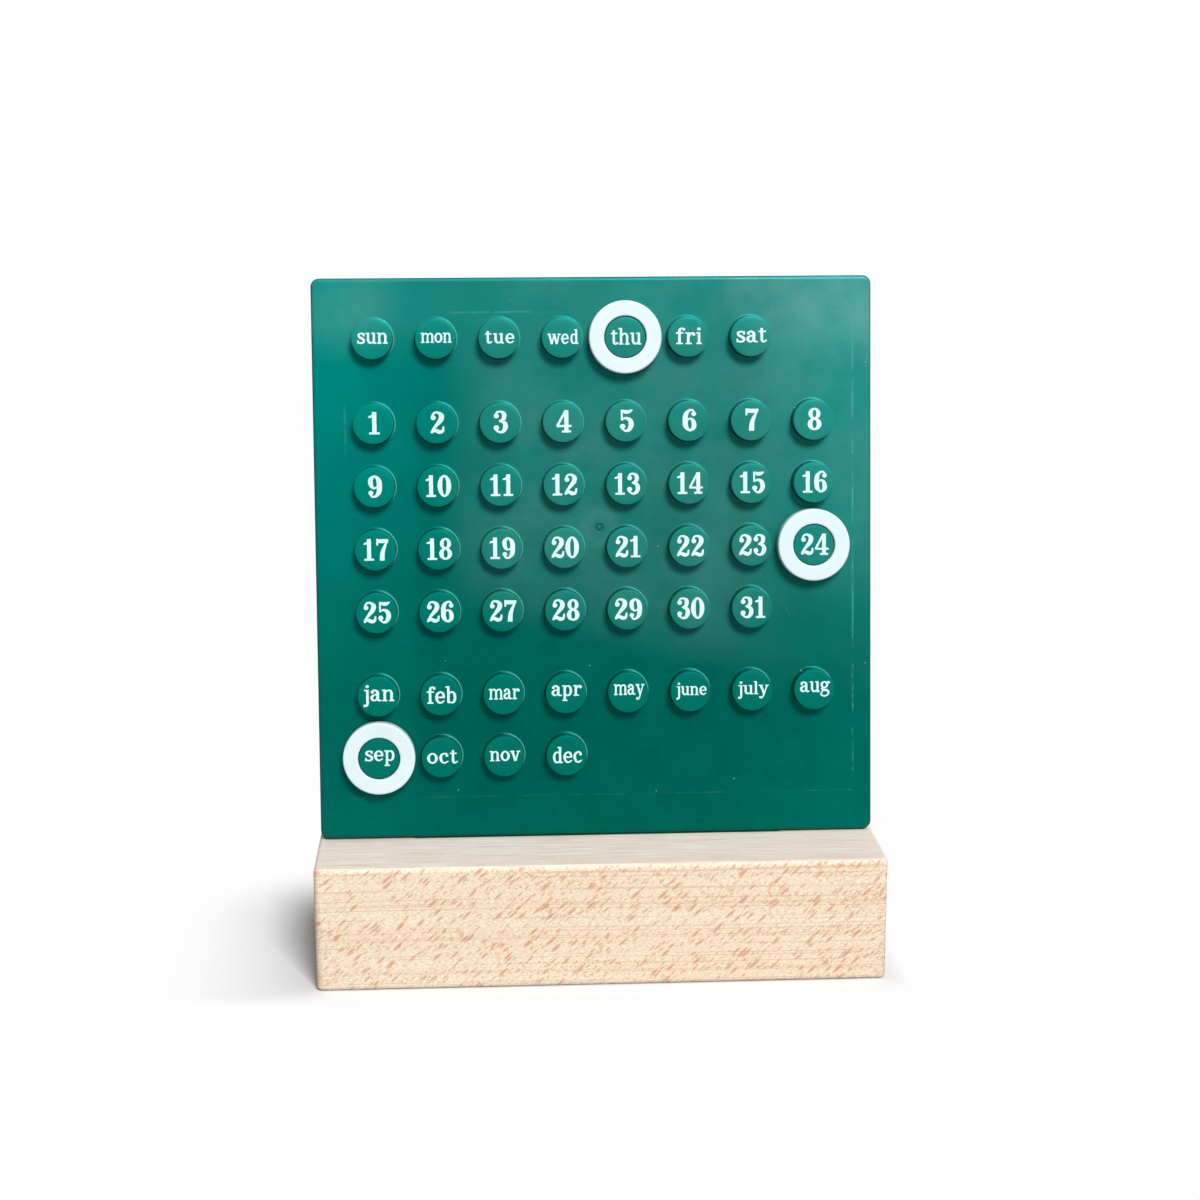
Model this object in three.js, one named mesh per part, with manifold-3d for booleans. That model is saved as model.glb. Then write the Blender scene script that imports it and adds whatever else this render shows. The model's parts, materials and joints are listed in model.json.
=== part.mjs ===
// Perpetual desk calendar: a moulded panel of numbered studs leans in a slotted beech block,
// and three loose rings hang on the studs of the day, the date and the month.
// Millimetres, +Z up, the front faces -Y, the origin is the centre of the block's underside.

import * as THREE from "three";
import { mergeVertices } from "three/addons/utils/BufferGeometryUtils.js";
import Module from "manifold-3d";

// Stud grid: seven days, thirty-one dates and twelve months, eight to a row
const studPitch = 15;
const groupGap = 20;
const sideMargin = 14.5;
const footMargin = 20;
const studsPerRow = 8;
const dayCount = 7;
const dateCount = 31;
const monthCount = 12;

// Studs that carry the rings, counted from nought within their group
const dayIndex = 4;
const dateIndex = 23;
const monthIndex = 8;

// Panel moulding
const panelThickness = 5;
const skin = 2.2;
const rimWall = 2;
const cornerRadius = 2;
const pocketCorner = 1;
const frontRound = 0.8;

// Studs, each cored out from behind
const studDiameter = 9.8;
const studHeight = 4;
const studEdgeRound = 0.45;
const studRootFillet = 0.45;
const studCoreDiameter = 6;
const studCrown = 1.6;

// Stiffening ribs behind the skin
const frameLeftInset = 6.7;
const frameRightInset = 3.6;
const frameFootInset = 8.9;
const frameTopInset = 7.3;
const frameRib = 1.8;
const crossRib = 1.1;
const ribSetback = 0.5;

// Gate mark where the moulding was filled
const gateDiameter = 2.4;
const gateDepth = 0.25;
const gateHeight = 74.6;
const gateAcross = 1.1;

// Tongue under the panel's foot
const tongueLength = 90;
const tongueThickness = 3;
const tongueDepth = 10;
const tongueLead = 0.6;

// Marker rings
const ringDiameter = 17.3;
const ringThickness = 4.1;
const ringEdgeRound = 0.5;
const ringBoreRound = 0.35;
const ringBoreClearance = 0.25;

// Block
const blockLength = 135;
const blockDepth = 50;
const blockHeight = 30;
const blockArris = 1;
const panelSetback = 21.5;
const slotClearance = 0.3;
const slotFloorGap = 0.8;

// Shared gap under a piece that rests on another, and the overrun of every cut
const seatGap = 0.3;
const overrun = 1;

// The block's upright corners against its arrises, and the tongue's end round against its thickness
const cornerShare = 1.6;
const endRoundShare = 0.47;

// Angles and the number of facets
const lean = THREE.MathUtils.degToRad(8);
const quarterTurn = Math.PI / 2;
const studFacets = 20;
const coreFacets = 10;
const gateFacets = 12;
const ringFacets = 40;
const roundFacets = 2;
const cornerFacets = 3;

// Sizes that follow from the grid
const columnSpan = (studsPerRow - 1) * studPitch;
const dateRows = Math.ceil(dateCount / studsPerRow);
const monthRows = Math.ceil(monthCount / studsPerRow);
const panelWidth = columnSpan + 2 * sideMargin;
const monthTop = footMargin + (monthRows - 1) * studPitch;
const dateTop = monthTop + groupGap + (dateRows - 1) * studPitch;
const dayTop = dateTop + groupGap;
const panelHeight = dayTop + sideMargin;

const wasm = await Module();
wasm.setup();

// A closed three.js geometry as a solid that can be joined and cut
function solid(geometry) {
  const bare = geometry.index ? geometry.clone() : geometry;
  bare.deleteAttribute("normal");
  bare.deleteAttribute("uv");
  const merged = mergeVertices(bare);
  const corners = merged.index.array;
  const faces = [];
  for (let i = 0; i < corners.length; i += 3) {
    const [a, b, c] = corners.slice(i, i + 3);
    if (a !== b && b !== c && c !== a) faces.push(a, b, c);
  }
  const vertProperties = new Float32Array(merged.attributes.position.array);
  const triVerts = new Uint32Array(faces);
  return new wasm.Manifold(new wasm.Mesh({ numProp: 3, vertProperties, triVerts }));
}

function geometryOf(body) {
  const { vertProperties, triVerts } = body.getMesh();
  const geometry = new THREE.BufferGeometry();
  geometry.setAttribute("position", new THREE.BufferAttribute(vertProperties, 3));
  geometry.setIndex(new THREE.BufferAttribute(triVerts, 1));
  geometry.computeVertexNormals();
  return geometry;
}

function joined(solids) {
  return solids.reduce((whole, next) => whole.add(next));
}

// Rectangle with round corners, centred on x, with its lower side at y = foot
function roundedOutline(width, height, radius, foot) {
  const side = width / 2;
  const top = foot + height;
  const outline = new THREE.Shape();
  outline.absarc(side - radius, foot + radius, radius, -quarterTurn, 0);
  outline.absarc(side - radius, top - radius, radius, 0, quarterTurn);
  outline.absarc(radius - side, top - radius, radius, quarterTurn, 2 * quarterTurn);
  outline.absarc(radius - side, foot + radius, radius, 2 * quarterTurn, 3 * quarterTurn);
  return outline;
}

// Straight-sided slab between two heights, from an outline drawn in x and y
function slab(outline, from, to) {
  const options = { depth: to - from, bevelEnabled: false, curveSegments: cornerFacets };
  return new THREE.ExtrudeGeometry(outline, options).translate(0, 0, from);
}

// Slab whose edges are eased at both ends
function easedSlab(outline, from, to, ease, facets) {
  const options = {
    depth: to - from - 2 * ease,
    bevelThickness: ease,
    bevelSize: ease,
    bevelOffset: -ease,
    bevelSegments: facets,
    curveSegments: cornerFacets,
  };
  return new THREE.ExtrudeGeometry(outline, options).translate(0, 0, from + ease);
}

function box(width, height, from, to) {
  return new THREE.BoxGeometry(width, height, to - from).translate(0, 0, (from + to) / 2);
}

// Points of a round between two directions, for the profile of a turned shape
function round(centreRadius, centreHeight, radius, start, end) {
  const points = [];
  for (let i = 0; i <= roundFacets; i += 1) {
    const angle = start + ((end - start) * i) / roundFacets;
    const across = centreRadius + radius * Math.cos(angle);
    const along = centreHeight + radius * Math.sin(angle);
    points.push(new THREE.Vector2(across, along));
  }
  return points;
}

// Shape turned about z from a profile of radius and height
function turned(profile, facets) {
  return new THREE.LatheGeometry(profile, facets).rotateX(quarterTurn);
}

function cylinder(diameter, from, to, facets) {
  const profile = [
    new THREE.Vector2(0, from),
    new THREE.Vector2(diameter / 2, from),
    new THREE.Vector2(diameter / 2, to),
    new THREE.Vector2(0, to),
  ];
  return turned(profile, facets);
}

// Places of the studs on the panel's face, from the foot of the panel upwards
function studPlace(index, topRow) {
  const column = index % studsPerRow;
  const row = Math.floor(index / studsPerRow);
  const x = column * studPitch - columnSpan / 2;
  return new THREE.Vector2(x, topRow - row * studPitch);
}

function studGroup(count, topRow) {
  return Array.from({ length: count }, (unused, index) => studPlace(index, topRow));
}

const studPlaces = [
  ...studGroup(dayCount, dayTop),
  ...studGroup(dateCount, dateTop),
  ...studGroup(monthCount, monthTop),
];

// Stud with a filleted root and an eased rim, its foot buried in the skin
function studGeometry() {
  const radius = studDiameter / 2;
  const root = radius + studRootFillet;
  const rimCentre = radius - studEdgeRound;
  const profile = [
    new THREE.Vector2(0, -skin / 2),
    new THREE.Vector2(root, -skin / 2),
    new THREE.Vector2(root, 0),
    new THREE.Vector2(radius, studRootFillet),
    new THREE.Vector2(radius, studHeight - studEdgeRound),
    new THREE.Vector2(rimCentre, studHeight),
    new THREE.Vector2(0, studHeight),
  ];
  return turned(profile, studFacets);
}

// Rib frame, and ribs across it along the middle lines between studs
function ribSolids() {
  const from = ribSetback - panelThickness;
  const to = -skin / 2;
  const width = panelWidth - frameLeftInset - frameRightInset;
  const height = panelHeight - frameFootInset - frameTopInset;
  const across = (frameLeftInset - frameRightInset) / 2;
  const middle = frameFootInset + height / 2;
  const outer = box(width, height, from, to).translate(across, middle, 0);
  const inner = box(width - 2 * frameRib, height - 2 * frameRib, from - overrun, to + overrun);
  const frame = solid(outer).subtract(solid(inner.translate(across, middle, 0)));
  const reach = frameRib / 2;
  const uprights = [-2 * studPitch, 0, 2 * studPitch].map((x) =>
    solid(box(crossRib, height - 2 * reach, from, to).translate(x, middle, 0)));
  const levels = [
    monthTop + groupGap / 2,
    dateTop - (dateRows - 1) * (studPitch / 2),
    dateTop + groupGap / 2,
  ].map((y) => solid(box(width - 2 * reach, crossRib, from, to).translate(across, y, 0)));
  return [frame, ...uprights, ...levels];
}

// Round-ended plan of the tongue and of its slot, which stand along y at mid thickness
function tongueOutline(clearance) {
  const length = tongueLength + 2 * clearance;
  const thickness = tongueThickness + 2 * clearance;
  return roundedOutline(length, thickness, thickness * endRoundShare, -thickness / 2);
}

function standing(bar) {
  return bar.rotateX(-quarterTurn).translate(0, 0, -panelThickness / 2);
}

// What the foot loses so that the leaning panel stands flat on the block
function footBevel() {
  const reach = panelThickness + overrun;
  const wedge = box(panelWidth + 2 * overrun, 2 * reach, -2 * reach, 0);
  return wedge.rotateX(lean - quarterTurn).translate(0, 0, -frontRound);
}

// Panel drawn flat: x to the right, y up its face, z out of its face
function panelGeometry() {
  const outline = roundedOutline(panelWidth, panelHeight, cornerRadius, 0);
  const pocketOutline = roundedOutline(
    panelWidth - 2 * rimWall, panelHeight - 2 * rimWall, pocketCorner, rimWall);
  const tooDeep = -panelThickness - 2 * frontRound;
  const blank = solid(easedSlab(outline, tooDeep, 0, frontRound, roundFacets));
  const behind = box(panelWidth + 2 * overrun, panelHeight + 2 * overrun,
    tooDeep - overrun, -panelThickness).translate(0, panelHeight / 2, 0);
  const pocket = slab(pocketOutline, -panelThickness - overrun, -skin);
  const shell = blank.subtract(solid(behind)).subtract(solid(pocket));

  const studs = studPlaces.map(({ x, y }) => solid(studGeometry().translate(x, y, 0)));
  const cores = studPlaces.map(({ x, y }) => {
    const core = cylinder(studCoreDiameter, -skin - overrun, studHeight - studCrown, coreFacets);
    return solid(core.translate(x, y, 0));
  });
  const tongue = standing(easedSlab(tongueOutline(0), -tongueDepth, rimWall, tongueLead, 1));
  const gate = cylinder(gateDiameter, -gateDepth, overrun, gateFacets);
  gate.translate(gateAcross, gateHeight, 0);

  const body = joined([shell, ...studs, ...ribSolids()]).subtract(solid(footBevel()));
  const whole = body.add(solid(tongue));
  return geometryOf(whole.subtract(joined(cores)).subtract(solid(gate)));
}

// Ring with an eased rim and a bore that opens at the back to clear a stud's root
function ringGeometry() {
  const outer = ringDiameter / 2;
  const bore = studDiameter / 2 + ringBoreClearance;
  const relief = studRootFillet + ringBoreClearance;
  const rimCentre = outer - ringEdgeRound;
  const boreCentre = bore + ringBoreRound;
  const profile = [
    ...round(rimCentre, ringEdgeRound, ringEdgeRound, -quarterTurn, 0),
    ...round(rimCentre, ringThickness - ringEdgeRound, ringEdgeRound, 0, quarterTurn),
    ...round(boreCentre, ringThickness - ringBoreRound, ringBoreRound, quarterTurn, 2 * quarterTurn),
    new THREE.Vector2(bore, relief),
    new THREE.Vector2(bore + relief, 0),
    new THREE.Vector2(rimCentre, 0),
  ];
  return turned(profile, ringFacets);
}

// The panel's drawing plane stands up and leans back, its bevelled foot just over the block
const leaning = new THREE.Group();
const faceRise = seatGap + frontRound * Math.sin(lean);
leaning.position.set(0, panelSetback - blockDepth / 2, blockHeight + faceRise);
leaning.rotation.x = quarterTurn - lean;
leaning.updateMatrix();

// Block with eased arrises and a stopped slot that follows the panel's lean
function blockGeometry() {
  const corner = blockArris * cornerShare;
  const outline = roundedOutline(blockLength, blockDepth, corner, -blockDepth / 2);
  const blank = solid(easedSlab(outline, 0, blockHeight, blockArris, roundFacets));
  const cutter = slab(tongueOutline(slotClearance), -tongueDepth - slotFloorGap, panelThickness);
  const slot = standing(cutter).applyMatrix4(leaning.matrix);
  return geometryOf(blank.subtract(solid(slot)));
}

function finish(colour, roughness) {
  return new THREE.MeshStandardMaterial({ color: colour, roughness, metalness: 0, flatShading: true });
}

function piece(name, geometry, material) {
  const mesh = new THREE.Mesh(geometry, material);
  mesh.name = name;
  return mesh;
}

function ring(name, place) {
  const mesh = piece(name, ringGeometry(), finish("#eef4f4", 0.35));
  mesh.position.set(place.x, place.y, seatGap);
  return mesh;
}

leaning.add(
  piece("calendar_panel", panelGeometry(), finish("#0b6a5d", 0.42)),
  ring("ring_day", studPlace(dayIndex, dayTop)),
  ring("ring_date", studPlace(dateIndex, dateTop)),
  ring("ring_month", studPlace(monthIndex, monthTop)),
);

const calendar = new THREE.Group();
calendar.add(piece("base_block", blockGeometry(), finish("#ecd2ae", 0.6)), leaning);

export default calendar;
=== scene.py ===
"""Perpetual desk calendar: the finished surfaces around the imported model.

The panel is drawn flat, x to the right, y up its face and z out of its face, and then put in its
leaning place. Lengths are in metres, most of them written as millimetres times MM.
"""

import json
import math

import bmesh
import bpy
from mathutils import Matrix, Vector
from mathutils.geometry import delaunay_2d_cdt


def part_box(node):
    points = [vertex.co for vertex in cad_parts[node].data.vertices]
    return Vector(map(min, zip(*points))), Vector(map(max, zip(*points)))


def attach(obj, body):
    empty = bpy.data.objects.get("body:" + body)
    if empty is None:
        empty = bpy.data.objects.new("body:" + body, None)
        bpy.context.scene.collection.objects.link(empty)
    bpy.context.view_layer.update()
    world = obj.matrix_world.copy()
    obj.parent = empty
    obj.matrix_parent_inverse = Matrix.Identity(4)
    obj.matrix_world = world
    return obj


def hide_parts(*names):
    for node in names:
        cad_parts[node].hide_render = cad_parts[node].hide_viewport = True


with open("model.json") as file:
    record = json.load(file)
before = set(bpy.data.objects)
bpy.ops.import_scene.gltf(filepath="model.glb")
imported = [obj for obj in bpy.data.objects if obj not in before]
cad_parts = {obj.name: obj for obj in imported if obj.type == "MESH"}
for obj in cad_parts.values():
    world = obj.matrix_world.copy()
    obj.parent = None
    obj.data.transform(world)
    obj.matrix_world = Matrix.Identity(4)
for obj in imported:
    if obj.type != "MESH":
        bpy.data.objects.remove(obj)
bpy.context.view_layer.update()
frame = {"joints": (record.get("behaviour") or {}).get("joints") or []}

MM = 0.001
QUARTER = math.pi / 2

# Stud grid
STUD_PITCH = 15 * MM
GROUP_GAP = 20 * MM
SIDE_MARGIN = 14.5 * MM
FOOT_MARGIN = 20 * MM
STUDS_PER_ROW = 8
DAYS = "sun mon tue wed thu fri sat".split()
DATES = [str(number) for number in range(1, 32)]
MONTHS = "jan feb mar apr may june july aug sep oct nov dec".split()
DAY_MARKED = DAYS.index("thu")
DATE_MARKED = DATES.index("24")
MONTH_MARKED = MONTHS.index("sep")

# Panel moulding
PANEL_THICKNESS = 5 * MM
SKIN = 2.2 * MM
RIM_WALL = 2 * MM
CORNER_RADIUS = 2 * MM
FRONT_ROUND = 0.8 * MM
STUD_RADIUS = 4.9 * MM
STUD_HEIGHT = 4 * MM
STUD_CROWN = 0.03 * MM
STUD_SHOULDER = 0.08 * MM
STUD_DRAFT = 0.06 * MM
STUD_RIM = 0.2 * MM
STUD_ROOT = 0.45 * MM
CORE_RADIUS = 3 * MM
CORE_DEPTH = 4.6 * MM
CORE_ROUND = 0.6 * MM
FRAME_LEFT_INSET = 6.7 * MM
FRAME_RIGHT_INSET = 3.6 * MM
FRAME_FOOT_INSET = 8.9 * MM
FRAME_TOP_INSET = 7.3 * MM
FRAME_RIB = 1.8 * MM
CROSS_RIB = 1.1 * MM
RIB_SETBACK = 0.5 * MM
RIB_STEP = 0.08 * MM
GATE_RADIUS = 1.2 * MM
GATE_DEPTH = 0.2 * MM
GATE_HEIGHT = 74.6 * MM
GATE_ACROSS = 1.1 * MM
TONGUE_LENGTH = 90 * MM
TONGUE_THICKNESS = 3 * MM
TONGUE_DEPTH = 10 * MM
TONGUE_LEAD = 0.6 * MM

# Marker rings
RING_RADIUS = 8.65 * MM
RING_BORE = 5.02 * MM
RING_THICKNESS = 4.1 * MM
RING_EDGE = 0.4 * MM
RING_BORE_EDGE = 0.35 * MM
RING_RELIEF = 0.7 * MM

# Block
PANEL_SETBACK = 21.5 * MM
BLOCK_ARRIS = 1 * MM
BLOCK_CORNER = 1.6 * BLOCK_ARRIS
SLOT_CLEARANCE = 0.3 * MM
SLOT_DEPTH = 10.8 * MM
SEAT_GAP = 0.3 * MM

# The slot's end rounds as a share of its width, and the tongue's of half its thickness
SLOT_END_SHARE = 0.47
TONGUE_END_SHARE = 0.94

# Printing
INK_THICKNESS = 0.06 * MM
INK_SUNK = 0.05 * MM
PRINT_WIDTH = 7.4 * MM
LETTER_UNIT = 0.262 * MM
NUMERAL_UNIT = 0.267 * MM
PAIR_UNIT = 0.26 * MM
PRINT_RISE = 0.15 * MM
PRINT_SHIFT = 0.18 * MM
SPREAD_MOST = 1.2
APART_MOST = 0.6
NUMERAL_SPREAD = 1.1
PAIR_SPREAD = 1.04
PAIR_APART = 0.4
PEN_STEPS = 5
PEN_WELD = 1e-4

# Words printed taller or lower than the rest, so that all come out about as wide
WORD_SIZES = {
    "june": 0.84, "july": 0.86, "mon": 0.91, "tue": 0.92, "nov": 0.94, "wed": 0.95,
    "thu": 1.08, "fri": 1.08, "sat": 1.07, "jan": 1.08, "feb": 1.14, "dec": 1.08,
}

# Width of the sunken line over a rib, the slant of the beech's flecks, and the spacing and start
# of the lines that its layers leave, in millimetres and as a share of the spacing
SINK_WIDTH = 0.4 * MM
FLECK_ANGLE = math.radians(43)
GRAIN_LINES = ((4.1, 0), (6.7, 0.3), (2.3, 0.6))

# Facets of the turned and rounded shapes
STUD_STEPS = 56
CORE_STEPS = 32
GATE_STEPS = 24
RING_STEPS = 128
ROUND_STEPS = 5
WELD = 0.002 * MM
LANDING = 0.3 * MM

# Sizes that follow
COLUMN_SPAN = (STUDS_PER_ROW - 1) * STUD_PITCH
DATE_ROWS = math.ceil(len(DATES) / STUDS_PER_ROW)
MONTH_ROWS = math.ceil(len(MONTHS) / STUDS_PER_ROW)
PANEL_WIDTH = COLUMN_SPAN + 2 * SIDE_MARGIN
MONTH_TOP = FOOT_MARGIN + (MONTH_ROWS - 1) * STUD_PITCH
DATE_TOP = MONTH_TOP + GROUP_GAP + (DATE_ROWS - 1) * STUD_PITCH
DAY_TOP = DATE_TOP + GROUP_GAP
PANEL_HEIGHT = DAY_TOP + SIDE_MARGIN
FRAME_LEFT = FRAME_LEFT_INSET - PANEL_WIDTH / 2
FRAME_RIGHT = PANEL_WIDTH / 2 - FRAME_RIGHT_INSET
FRAME_FOOT = FRAME_FOOT_INSET
FRAME_TOP = PANEL_HEIGHT - FRAME_TOP_INSET

joints = {joint["name"]: joint for joint in frame["joints"]}
UP = Vector(joints["panel_lift"]["axis"]).normalized()
LEAN = math.atan2(UP.y, UP.z)
block_low, block_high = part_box("base_block")
FOOT = Vector((
    0,
    block_low.y + PANEL_SETBACK,
    block_high.z + SEAT_GAP + FRONT_ROUND * math.sin(LEAN),
))
PANEL_PLACE = Matrix.Translation(FOOT) @ Matrix.Rotation(QUARTER - LEAN, 4, "X")


def stud_places(count, top_row):
    """Centres of a group's studs on the panel's face, read from left to right."""
    places = []
    for index in range(count):
        row, column = divmod(index, STUDS_PER_ROW)
        across = column * STUD_PITCH - COLUMN_SPAN / 2
        places.append(Vector((across, top_row - row * STUD_PITCH, 0)))
    return places


DAY_PLACES = stud_places(len(DAYS), DAY_TOP)
DATE_PLACES = stud_places(len(DATES), DATE_TOP)
MONTH_PLACES = stud_places(len(MONTHS), MONTH_TOP)
ALL_PLACES = DAY_PLACES + DATE_PLACES + MONTH_PLACES


# Mesh helpers

def finished(bm, name, material, body, place=None, sharp=35):
    """A bmesh as a piece of the calendar, smooth but for its edges sharper than the angle given."""
    bmesh.ops.remove_doubles(bm, verts=bm.verts, dist=WELD)
    if place:
        bm.transform(place)
    bmesh.ops.recalc_face_normals(bm, faces=bm.faces)
    mesh = bpy.data.meshes.new(name)
    bm.to_mesh(mesh)
    bm.free()
    mesh.shade_smooth()
    mesh.set_sharp_from_angle(angle=math.radians(sharp))
    mesh.materials.append(material)
    piece = bpy.data.objects.new(name, mesh)
    bpy.context.scene.collection.objects.link(piece)
    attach(piece, body)
    return piece


def bevel(bm, geometry, width, steps, affect="EDGES"):
    return bmesh.ops.bevel(
        bm, geom=geometry, offset=width, offset_type="OFFSET", segments=steps, profile=0.5,
        affect=affect, material=-1, clamp_overlap=True)


def block_of(bm, low, high):
    """A box between two corners."""
    low, high = Vector(low), Vector(high)
    place = Matrix.Translation((low + high) / 2) @ Matrix.Diagonal((*(high - low), 1))
    return bmesh.ops.create_cube(bm, size=1, matrix=place)["verts"]


def edges_of(verts):
    """Each edge at some vertices, once and in a steady order."""
    return list(dict.fromkeys(edge for vert in verts for edge in vert.link_edges))


def edges_along(verts, direction):
    """The edges of a box that run along a direction."""
    along = Vector(direction)

    def runs_along(edge):
        first, second = edge.verts
        return abs((first.co - second.co).normalized().dot(along)) > 0.9

    return [edge for edge in edges_of(verts) if runs_along(edge)]


def landing(bm, direction):
    """A narrow flat edge left round the largest face that looks a given way."""
    bmesh.ops.inset_individual(
        bm, faces=[face_towards(bm, direction)], thickness=LANDING, depth=0, use_even_offset=True)


def face_towards(bm, direction):
    """The largest face that looks a given way."""
    towards = Vector(direction)
    bm.normal_update()
    return max(bm.faces, key=lambda face: face.calc_area() * (face.normal.dot(towards) > 0.99))


def pierce(bm, face, holes, height):
    """Opens round holes, each a place, a radius and its facets, in a flat face at some height."""
    rim = list(face.edges)
    bmesh.ops.delete(bm, geom=[face], context="FACES_ONLY")
    for place, radius, steps in holes:
        centre = Matrix.Translation((place.x, place.y, height))
        circle = bmesh.ops.create_circle(bm, segments=steps, radius=radius, matrix=centre)
        rim += edges_of(circle["verts"])
    bmesh.ops.triangle_fill(bm, use_beauty=True, use_dissolve=False, edges=rim)


def turned(profile, steps):
    """A shape spun from a profile of (radius, height) points about the line out of the panel."""
    part = bmesh.new()
    points = [part.verts.new((0, radius, height)) for radius, height in profile]
    pairs = list(zip(points, points[1:]))
    if profile[0] == profile[-1]:
        bmesh.ops.delete(part, geom=[points.pop()], context="VERTS")
        pairs = list(zip(points, points[1:] + points[:1]))
    edges = [part.edges.new(pair) for pair in pairs]
    bmesh.ops.spin(
        part, geom=points + edges, cent=(0, 0, 0), axis=(0, 0, 1), dvec=(0, 0, 0),
        angle=2 * math.pi, steps=steps, use_merge=True, use_duplicate=False)
    return part


def add(bm, part, places=(Vector((0, 0, 0)),)):
    """Moves a finished part into a larger mesh, once for each place."""
    carrier = bpy.data.meshes.new("carrier")
    part.to_mesh(carrier)
    part.free()
    for place in places:
        carrier.transform(Matrix.Translation(place))
        bm.from_mesh(carrier)
        carrier.transform(Matrix.Translation(-place))
    bpy.data.meshes.remove(carrier)


def arc(across, along, radius, start, end, steps=ROUND_STEPS):
    """Points of a round in a profile, its centre given, between two angles in quarter turns."""
    angles = [(start + (end - start) * i / steps) * QUARTER for i in range(steps + 1)]
    return [(across + radius * math.cos(a), along + radius * math.sin(a)) for a in angles]


# Panel

def stud_profile():
    rim = STUD_RADIUS - STUD_DRAFT - STUD_RIM
    shoulder = STUD_HEIGHT - STUD_CROWN - STUD_SHOULDER
    root = STUD_RADIUS + STUD_ROOT
    crown = [
        (rim * share, STUD_HEIGHT - STUD_CROWN * share ** 2 - STUD_SHOULDER * share ** 8)
        for share in (0.94, 0.88, 0.8, 0.7, 0.4, 0)]
    return [
        (root + LANDING, 0),
        *arc(root, STUD_ROOT, STUD_ROOT, 3, 2),
        *arc(rim, shoulder - STUD_RIM, STUD_RIM, 0, 1),
        *crown,
    ]


def gate_profile():
    dish = GATE_RADIUS - GATE_DEPTH
    nub = GATE_DEPTH
    return [
        (GATE_RADIUS + LANDING, 0),
        *arc(GATE_RADIUS, -GATE_DEPTH / 2, GATE_DEPTH / 2, 1, 1.8, 3),
        (dish, -GATE_DEPTH),
        (2 * nub, -GATE_DEPTH),
        (1.6 * nub, -GATE_DEPTH / 3),
        (nub, 0),
        (0, 0),
    ]


def core_profile():
    floor = CORE_DEPTH - SKIN
    corner = arc(CORE_RADIUS - CORE_ROUND, floor - CORE_ROUND, CORE_ROUND, 0, 1)
    return [(CORE_RADIUS, -SKIN), *corner, (0, floor)]


def panel_shell(bm):
    """The open-backed box of the panel, its foot bevelled to stand flat while it leans."""
    half = PANEL_WIDTH / 2
    verts = block_of(bm, (-half, 0, -PANEL_THICKNESS), (half, PANEL_HEIGHT, 0))
    for vert in verts:
        if vert.co.y < WELD and vert.co.z < -WELD:
            vert.co.y += PANEL_THICKNESS * math.tan(LEAN)
    bevel(bm, edges_along(verts, (0, 0, 1)), CORNER_RADIUS, 8)
    front = face_towards(bm, (0, 0, 1))
    bevel(bm, list(front.edges), FRONT_ROUND, ROUND_STEPS)
    back = face_towards(bm, (0, 0, -1))
    bmesh.ops.inset_individual(bm, faces=[back], thickness=RIM_WALL, depth=0, use_even_offset=True)
    pocket = bmesh.ops.extrude_discrete_faces(bm, faces=[face_towards(bm, (0, 0, -1))])["faces"]
    bmesh.ops.translate(bm, verts=pocket[0].verts, vec=(0, 0, PANEL_THICKNESS - SKIN))


def rib(bm, low_x, low_y, high_x, high_y, lower=0):
    """A rib that stands on the skin's back, as a slim box with an eased crest."""
    low = (low_x, low_y, RIB_SETBACK + lower - PANEL_THICKNESS)
    high = (high_x, high_y, -SKIN + WELD * 20)
    part = bmesh.new()
    verts = block_of(part, low, high)
    crest = [e for e in part.edges if all(v.co.z < -SKIN for v in e.verts)]
    bevel(part, crest, min(high_x - low_x, high_y - low_y) / 6, 2)
    add(bm, part)


def panel_ribs(bm):
    left, right, low, high = FRAME_LEFT, FRAME_RIGHT, FRAME_FOOT, FRAME_TOP
    into, side = FRAME_RIB / 2, CROSS_RIB / 2
    for end in (low, high - FRAME_RIB):
        rib(bm, left, end, right, end + FRAME_RIB)
    for edge in (left, right - FRAME_RIB):
        rib(bm, edge, low, edge + FRAME_RIB, high)
    for x in (-2 * STUD_PITCH, 0, 2 * STUD_PITCH):
        rib(bm, x - side, low + into, x + side, high - into, RIB_STEP)
    middle_rows = DATE_TOP - (DATE_ROWS - 1) * STUD_PITCH / 2
    for y in (MONTH_TOP + GROUP_GAP / 2, middle_rows, DATE_TOP + GROUP_GAP / 2):
        rib(bm, left + into, y - side, right - into, y + side, 2 * RIB_STEP)


def panel_tongue(bm):
    part = bmesh.new()
    middle = -PANEL_THICKNESS / 2
    half = TONGUE_THICKNESS / 2
    low = (-TONGUE_LENGTH / 2, -TONGUE_DEPTH, middle - half)
    high = (TONGUE_LENGTH / 2, RIM_WALL * 0.9, middle + half)
    verts = block_of(part, low, high)
    bevel(part, edges_along(verts, (0, 1, 0)), half * TONGUE_END_SHARE, 6)
    tip = min(part.faces, key=lambda face: face.calc_center_median().y)
    bevel(part, list(tip.edges), TONGUE_LEAD, 3)
    add(bm, part)


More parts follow.
